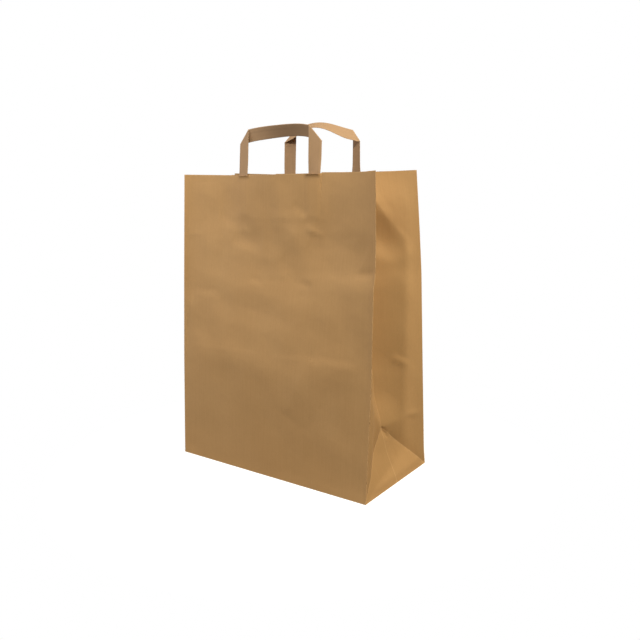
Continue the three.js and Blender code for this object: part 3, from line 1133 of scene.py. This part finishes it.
def make_handle(name, panel, handle):
    """Leg, fold, bar, fold and leg as one tape, with the strip's edge along its front face."""
    places = tape_places()
    legs = {}
    folds = {}
    ends = {}
    for side in (-1, 1):
        opening = handle["openings"][side]
        slant = handle["slants"][side]
        mitre = mitre_frame(panel, handle, side)
        legs[side] = leg_rows(panel, handle, side, places)
        folds[side] = fold_rows(legs[side][-1], mitre, slant, opening)
        ends[side] = bar_ends(mitre, slant, opening)
    inwards = np.array([0.0, -panel["facing"], 0.0])
    bar = bar_rows(handle, ends[-1], ends[1], places, inwards)
    tape = np.concatenate([legs[-1], folds[-1], bar, folds[1][::-1], legs[1][::-1]])
    points, faces, rows, around = tape_mesh(tape, places)
    if signed_volume(points, faces) < 0:
        faces = faces[:, ::-1]
    steps = np.linalg.norm(np.diff(tape[:, len(places) // 2], axis=0), axis=1)
    along = np.concatenate([[0], np.cumsum(steps)])
    across = np.concatenate([places, places[-2:0:-1]])
    sheet = np.stack([np.tile(across, rows), np.repeat(along, around)], axis=1)
    from_edge = tape_width / 2 - np.abs(sheet[:, 0])
    print("%s: %.0f mm of tape, top at %.1f mm" % (name, along[-1], points[:, 2].max()))
    return make_piece(name, points, faces, sheet, from_edge, handle_sharpness)


# %% [markdown]
# Each fold has its own opening and slant, and each leg its own turn. The front bar leans out
# towards the right and shows its shaded underside. The back bar leans the other way, out of
# the back of the bag, and shows its upper side. In each pair of values, -1 is the left leg
# and 1 the right one. Lengths are in millimetres.

# %% Both handles
front_handle_shape = {
    "centre": 0.0,
    "moved": {-1: -1.3, 1: 2.0},  # each leg's shift across
    "slew": 0.0,  # the shift that both legs gain for each millimetre upwards
    "corners": {-1: 41.0, 1: 39.2},  # height of the fold line's lower end above the rim
    "slants": {-1: 1.15, 1: 1.2},
    "turns": {-1: np.radians(-3.3), 1: np.radians(10)},
    "turn_from": -2.0,  # where a leg begins to turn, from the rim up
    "openings": {-1: np.radians(15), 1: np.radians(40)},
    "sway": {-1: 0.3, 1: 0.4},  # how far a leg leans out at the rim
    "rise": -1.6,  # how far the bar's middle bends up
    "swing": 1.0,  # and how far into the bag
    "lean": 0.18,  # how much further the bar's width leans in its middle
}
back_handle_shape = {
    "centre": back_shift,
    "moved": {-1: 2.4, 1: 0.8},
    "slew": 0.07,
    "corners": {-1: 44.0, 1: 40.6},
    "slants": {-1: 1.2, 1: 0.87},
    "turns": {-1: np.radians(3), 1: np.radians(11)},
    "turn_from": -10.0,
    "openings": {-1: np.radians(50), 1: np.radians(68)},
    "sway": {-1: 0.2, 1: 0.2},
    "rise": 5.5,
    "swing": 0.0,
    "lean": 0.95,
}
front_tape = make_handle("front_tape", front_panel, front_handle_shape)
back_tape = make_handle("back_tape", back_panel, back_handle_shape)

# %% [markdown]
# ## The patches
#
# A patch of paper is pasted over the legs inside the mouth. It lies on the panel and humps
# over each leg. It was laid on a little askew, so its left upper corner peeps over the rim.
# At the tear the leg was pulled, and the front patch stands off the panel in a small pocket.

# %% Both patches
patch_past_legs = 13.0
patch_below_legs = 5.8
patch_drop = 0.8  # of its upper edge below the rim
patch_width = leg_spacing + tape_width + 2 * patch_past_legs
patch_tall = leg_tuck + patch_below_legs - patch_drop
patch_columns = 161
patch_rows = 31
patch_near = paper + glue_line
patch_slack = 0.25  # between the patch and the tape that it covers
bridge_inside = 0.5  # how far past a leg's edges it stays off the panel
bridge_outside = 4.0
bridge_soft = 2.5
bridge_foot = (4.0, 1.0)  # it comes down to the panel this far below the leg
cockle = 0.1  # fine waves from the wet paste
cockle_sizes = (12, 40)
cockle_seed = 31
pocket_centre = (tear_across - 2, panel_height - 10)
pocket_size = (14, 30)
no_pocket = 0.0
patch_in_pattern = 900.0  # its paper lies here in the pattern, clear of the bag's own
front_tilt = np.radians(2.6)
back_tilt = np.radians(1.0)
front_pocket = 2.6


def make_patch(name, panel, tilt, pocket):
    """A flat sheet on the panel, turned by the tilt, raised by the tape where it covers a leg."""
    x = np.linspace(-patch_width / 2, patch_width / 2, patch_columns)[None, :]
    y = np.linspace(-patch_tall / 2, patch_tall / 2, patch_rows)[:, None]
    across = x * np.cos(tilt) + y * np.sin(tilt)
    up = panel_height - patch_drop - patch_tall / 2 + y * np.cos(tilt) - x * np.sin(tilt)
    bridge_start = legs_inner - bridge_inside
    bridge_end = legs_outer + bridge_outside
    over_legs = plateau(np.abs(across), bridge_start, bridge_end, bridge_soft)
    over_legs = over_legs * rise(up, leg_foot - bridge_foot[0], leg_foot - bridge_foot[1])
    depth = patch_near + (tape_thickness + ply_step + patch_slack) * over_legs
    depth = depth + cockle * (1 + waves(across, up, cockle_seed, *cockle_sizes))
    depth = depth + pocket * bell(across, up, pocket_centre, pocket_size)
    points = on_panel(panel, panel["handle_centre"] + across, up, depth).reshape(-1, 3)
    faces = split_cells(grid_cells(patch_rows, patch_columns), True)
    if panel["facing"] > 0:
        faces = faces[:, ::-1]
    solid, faces = thicken(points, faces, paper)
    sheet = np.stack([across.ravel() + patch_in_pattern, up.ravel()], axis=1)
    border = np.minimum(patch_width / 2 - np.abs(x), patch_tall / 2 - np.abs(y)).ravel()
    to_border = np.tile(border, 2)
    return make_piece(name, solid, faces, np.tile(sheet, (2, 1)), to_border, handle_sharpness)


front_patch = make_patch("front_patch", front_panel, front_tilt, front_pocket)
back_patch = make_patch("back_patch", back_panel, back_tilt, no_pocket)

# %% [markdown]
# ## The finish of kraft paper
#
# Kraft is unbleached wood pulp. Close up it shows short fibres, a cloudy look where the pulp
# lies thicker or thinner, and faint lines the way the paper ran through the machine. It is
# matt. All of that is noise on the flat sheet's own coordinates, so the pattern bends and folds
# with the paper. Its folds also get a painted highlight: the colour is made paler along them,
# where a fold's rounded edge catches the light.

# %% Helpers for materials
def add_node(tree, kind, inputs=None, **settings):
    """A new node with these settings. An input is set to a value or linked to a socket."""
    made = tree.nodes.new(kind)
    for key, value in settings.items():
        setattr(made, key, value)
    for key, value in (inputs or {}).items():
        if isinstance(value, bpy.types.NodeSocket):
            tree.links.new(value, made.inputs[key])
        else:
            made.inputs[key].default_value = value
    return made


def noise(tree, place, size, detail, sharpness=0.5):
    """Noise on the sheet, its spots this many metres across and along the paper's grain."""
    scale = (1 / size[0], 1 / size[1], 1)
    spread = add_node(tree, "ShaderNodeMapping", {"Vector": place, "Scale": scale})
    inputs = {"Vector": spread.outputs[0], "Scale": 1.0, "Detail": detail, "Roughness": sharpness}
    return add_node(tree, "ShaderNodeTexNoise", inputs).outputs["Fac"]


def remap(tree, value, start, end, low_value=0.0, high_value=1.0):
    """value between start and end, spread from low_value to high_value and held there."""
    inputs = {0: value, 1: start, 2: end, 3: low_value, 4: high_value}
    return add_node(tree, "ShaderNodeMapRange", inputs).outputs[0]


def mix(tree, share, first, second):
    """The two colours mixed by share."""
    inputs = {0: share, 6: first, 7: second}
    return add_node(tree, "ShaderNodeMix", inputs, data_type="RGBA").outputs[2]


def calculate(tree, operation, first, second):
    """One sum of two numbers."""
    return add_node(tree, "ShaderNodeMath", {0: first, 1: second}, operation=operation).outputs[0]


def shade(colour, factor, warmth=0.0):
    """The colour made lighter or darker, and warmer by taking blue away."""
    red, green, blue = colour
    return (red * factor, green * factor * (1 - warmth / 3), blue * factor * (1 - warmth), 1)


print("grey made a fifth lighter:", np.round(shade((0.5, 0.5, 0.5), 1.2)[:3], 2))

# %% [markdown]
# The colour is built up in layers. Each layer takes one noise, spreads a part of its range to
# a strength, and mixes in the paper's colour made darker or lighter, warmer or cooler by
# that much: the clouds, the machine lines, pale and dark fibres, and a few specks of bark.

# %% The paper's material
sheet_colour = (0.475, 0.268, 0.108)
tape_colour = (0.4, 0.24, 0.126)
patch_colour = (0.41, 0.235, 0.1)
broad_clouds = (0.09, 0.12)  # sizes across and along the machine's run, in metres
pulp_clouds = (0.0035, 0.006)
machine_lines = (0.0022, 0.09)
fibre_size = (0.00035, 0.0018)
speck_size = (0.0011, 0.0016)
clouded_dark = (0.965, 0.05)  # factor and warmth of the darkest and the palest broad cloud
clouded_pale = (1.035, -0.03)
# The painted highlight along the folds: its factor and warmth, the distances over which a fold is
# painted paler, and how patchy it is.
fold_highlight_shade = (1.55, -0.35)
fold_highlight_width = (1.1, 0.1)  # a fold is paler from the first distance to the second
fold_highlight_patchy = (0.25, 0.6, 0.35, 1.0)
roughness_spread = (0.2, 0.8, 0.86, 0.72)
dull_sheen = 0.28
fibre_share = 0.6  # of the bump, and so on
cloud_share = 0.5
line_share = 0.35
fibre_depth = 0.00012
bump_strength = 0.35


def kraft(name, colour, clouds, lines, fold_highlight):
    """Kraft paper of one colour, with how strong its clouds, machine lines and painted fold
    highlights are.
    """
    material = bpy.data.materials.new(name)
    material.use_nodes = True
    tree = material.node_tree
    surface = tree.nodes["Principled BSDF"]
    place = add_node(tree, "ShaderNodeUVMap", uv_map="sheet").outputs[0]
    from_fold = add_node(tree, "ShaderNodeAttribute", attribute_name="to_fold").outputs["Fac"]
    broad = noise(tree, place, broad_clouds, 3)
    cloudy = noise(tree, place, pulp_clouds, 4, 0.6)
    streaks = noise(tree, place, machine_lines, 3, 0.6)
    fibres = noise(tree, place, fibre_size, 5, 0.65)
    specks = noise(tree, place, speck_size, 1)

    broad_share = remap(tree, broad, 0.3, 0.7)
    tone = mix(tree, broad_share, shade(colour, *clouded_dark), shade(colour, *clouded_pale))
    # Each layer: noise, from, to, strength, factor, warmth
    layers = [
        (cloudy, 0.3, 0.7, clouds, 0.86, 0.1),
        (streaks, 0.35, 0.75, lines, 1.16, -0.06),
        (fibres, 0.55, 0.8, 0.32, 1.3, -0.1),
        (fibres, 0.42, 0.22, 0.4, 0.7, 0.15),
        (specks, 0.74, 0.78, 0.45, 0.55, 0.2),
    ]
    for value, start, end, strength, factor, warmth in layers:
        share = remap(tree, value, start, end, 0.0, strength)
        tone = mix(tree, share, tone, shade(colour, factor, warmth))

    # Painted highlight: the colour is made paler near each fold and near the edges of the tape and
    # the patches, where the paper catches the light.
    highlight_share = remap(tree, from_fold, *fold_highlight_width)
    highlight_share = calculate(tree, "MULTIPLY", highlight_share, remap(tree, cloudy, *fold_highlight_patchy))
    highlight_share = calculate(tree, "MULTIPLY", highlight_share, fold_highlight)
    tone = mix(tree, highlight_share, tone, shade(colour, *fold_highlight_shade))
    tree.links.new(tone, surface.inputs["Base Color"])

    roughness = remap(tree, cloudy, *roughness_spread)
    tree.links.new(roughness, surface.inputs["Roughness"])
    surface.inputs["Specular IOR Level"].default_value = dull_sheen

    depth = calculate(tree, "MULTIPLY", fibres, fibre_share)
    depth = calculate(tree, "ADD", depth, calculate(tree, "MULTIPLY", cloudy, cloud_share))
    depth = calculate(tree, "ADD", depth, calculate(tree, "MULTIPLY", streaks, line_share))
    bump_inputs = {"Height": depth, "Strength": bump_strength, "Distance": fibre_depth}
    bump = add_node(tree, "ShaderNodeBump", bump_inputs)
    tree.links.new(bump.outputs[0], surface.inputs["Normal"])
    print(name, "has", len(tree.nodes), "nodes")
    return material


sheet_kraft = kraft("sheet_kraft", sheet_colour, clouds=0.3, lines=0.22, fold_highlight=0.4)
tape_kraft = kraft("tape_kraft", tape_colour, clouds=0.35, lines=0.3, fold_highlight=0.3)
patch_kraft = kraft("patch_kraft", patch_colour, clouds=0.35, lines=0.2, fold_highlight=0.3)

# %% Giving each piece its material, and putting it on the root in place of its part
pieces = [
    (bag, sheet_kraft, "bag_body", "kraft_sheet"),
    (front_tape, tape_kraft, "front_handle", "kraft_tape"),
    (back_tape, tape_kraft, "back_handle", "kraft_tape"),
    (front_patch, patch_kraft, "front_handle_patch", "kraft_patch"),
    (back_patch, patch_kraft, "back_handle_patch", "kraft_patch"),
]
for piece, material, node_name, slot_name in pieces:
    piece.data.materials.append(material)
    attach(piece, "root")
    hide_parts(node_name)
print(len(pieces), "pieces ride on the root")

# %% [markdown]
# ## Floor, light and camera
#
# The bag stands on a pale floor. Its colour is darker for light that only bounces, so that
# the floor throws little light up at the bag, and near the bag it keeps the shadow. Further
# out it fades into plain white, as the world is where the camera sees it.

# %% The floor
floor_half = 4.0
floor_level = -0.0003
white_from = 0.18  # the shadow fades into plain white between these distances from the bag
white_at = 0.36
bounce_tone = (0.14, 0.11, 0.07, 1)
seen_tone = (0.9, 0.9, 0.9, 1)
seen_glow = 0.35


def seen_by_camera(tree):
    """1 for what the camera sees straight on, in a reflection or through something clear."""
    rays = add_node(tree, "ShaderNodeLightPath").outputs
    seen = calculate(tree, "MAXIMUM", rays["Is Camera Ray"], rays["Is Glossy Ray"])
    return calculate(tree, "MAXIMUM", seen, rays["Is Transmission Ray"])


square = [(-1, -1), (1, -1), (1, 1), (-1, 1)]
floor_corners = [(x * floor_half, y * floor_half, floor_level) for x, y in square]
floor_mesh = bpy.data.meshes.new("floor")
floor_mesh.from_pydata(floor_corners, [], [(0, 1, 2, 3)])
floor = bpy.data.objects.new("floor", floor_mesh)
bpy.context.scene.collection.objects.link(floor)
print("floor %.0f m wide" % (2 * floor_half))

# %% The floor's paint
floor_paint = bpy.data.materials.new("floor_paint")
floor_paint.use_nodes = True
paint = floor_paint.node_tree
seen = seen_by_camera(paint)
matt = add_node(paint, "ShaderNodeBsdfDiffuse", {"Color": mix(paint, seen, bounce_tone, seen_tone)})
glow = calculate(paint, "MULTIPLY", seen, seen_glow)
lift = add_node(paint, "ShaderNodeEmission", {"Strength": glow})
near_floor = add_node(paint, "ShaderNodeAddShader", {0: matt.outputs[0], 1: lift.outputs[0]})
far_floor = add_node(paint, "ShaderNodeEmission", {"Strength": seen})
place = add_node(paint, "ShaderNodeTexCoord").outputs["Object"]
from_bag = add_node(paint, "ShaderNodeVectorMath", {0: place}, operation="LENGTH").outputs["Value"]
far_share = remap(paint, from_bag, white_from, white_at)
floor_inputs = {0: far_share, 1: near_floor.outputs[0], 2: far_floor.outputs[0]}
whole_floor = add_node(paint, "ShaderNodeMixShader", floor_inputs)
paint.links.new(whole_floor.outputs[0], paint.nodes["Material Output"].inputs["Surface"])
floor_mesh.materials.append(floor_paint)
print("the floor is plain white %.2f m from the bag's middle" % white_at)

# %% The world
fill_level = 0.07
world = bpy.data.worlds.new("studio")
bpy.context.scene.world = world
world.use_nodes = True
sky = world.node_tree
sky_strength = remap(sky, seen_by_camera(sky), 0, 1, fill_level, 1.0)
sky.links.new(sky_strength, sky.nodes["Background"].inputs["Strength"])
sky.nodes["Background"].inputs["Color"].default_value = (1, 1, 1, 1)
print("the world fills with a strength of", fill_level)

# %% [markdown]
# The light is soft studio light from five round lamps. The key is small, high and almost
# straight in front, so the front edge throws its shadow into the fold of the gusset. One
# lamp on the left evens out the front panel. The upper right lamp looks into the gusset from
# above and the right fill, which is warm, from behind. The last one lights the back panel.

# %% The lamps
aim = np.array([0, 0, 0.2])  # the middle of the bag


def direction_to(azimuth, elevation):
    """The direction from the bag to something at this azimuth from the front and elevation."""
    turn, tilt = np.radians([azimuth, elevation])
    return np.array([np.sin(turn) * np.cos(tilt), -np.cos(turn) * np.cos(tilt), np.sin(tilt)])


def add_lamp(name, azimuth, elevation, distance, size, watts, colour):
    """A round area lamp of this size, at this distance, that shines on the bag."""
    data = bpy.data.lights.new(name, "AREA")
    data.shape = "DISK"
    data.size = size
    data.energy = watts
    data.color = colour
    lamp = bpy.data.objects.new(name, data)
    away = direction_to(azimuth, elevation)
    lamp.location = aim + away * distance
    lamp.rotation_mode = "QUATERNION"
    lamp.rotation_quaternion = Vector(away).to_track_quat("Z", "Y")
    bpy.context.scene.collection.objects.link(lamp)
    print("%s: %.1f m away, %.1f W" % (name, distance, watts))


add_lamp("key", 12.1, 44.7, 2.4, 0.12, 25, (1, 1, 0.96))
add_lamp("near_left", -56, 24, 1.05, 0.6, 5.0, (0.93, 0.96, 1))
add_lamp("upper_right", 80, 48, 1.2, 0.8, 14.0, (0.97, 0.96, 0.84))
add_lamp("right_fill", 126, 22, 1.8, 1.2, 5.5, (1, 0.8, 0.42))
add_lamp("back_fill", 195, 22, 2.2, 1.4, 14, (1, 0.97, 0.93))

# %% [markdown]
# The camera's place and turn come from fitting a camera to the bag's six visible corners. It
# stands a little above the bag, to the right of its front, with a slight roll.

# %% The camera
camera_azimuth = 35.785
camera_elevation = 11.19
camera_roll = np.radians(-0.93)
camera_place = np.array([0.58542, -0.76065, 0.39423])
picture_width = 640
focal_length = 692.82  # in the same pixels
sensor_width = 36
look = -direction_to(camera_azimuth, camera_elevation)
level = unit(np.cross(look, up_axis))
upright = np.cross(level, look)
right = level * np.cos(camera_roll) + upright * np.sin(camera_roll)
up = upright * np.cos(camera_roll) - level * np.sin(camera_roll)
camera_data = bpy.data.cameras.new("camera")
camera_data.sensor_width = sensor_width
camera_data.lens = focal_length / picture_width * sensor_width
camera = bpy.data.objects.new("camera", camera_data)
pose = np.eye(4)
pose[:3, :3] = np.stack([right, up, -look], axis=1)
pose[:3, 3] = camera_place
camera.matrix_world = pose.T.tolist()
bpy.context.scene.collection.objects.link(camera)
bpy.context.scene.camera = camera
print("lens %.1f mm" % camera_data.lens)

# %% The view transform
bpy.context.scene.view_settings.view_transform = "Standard"
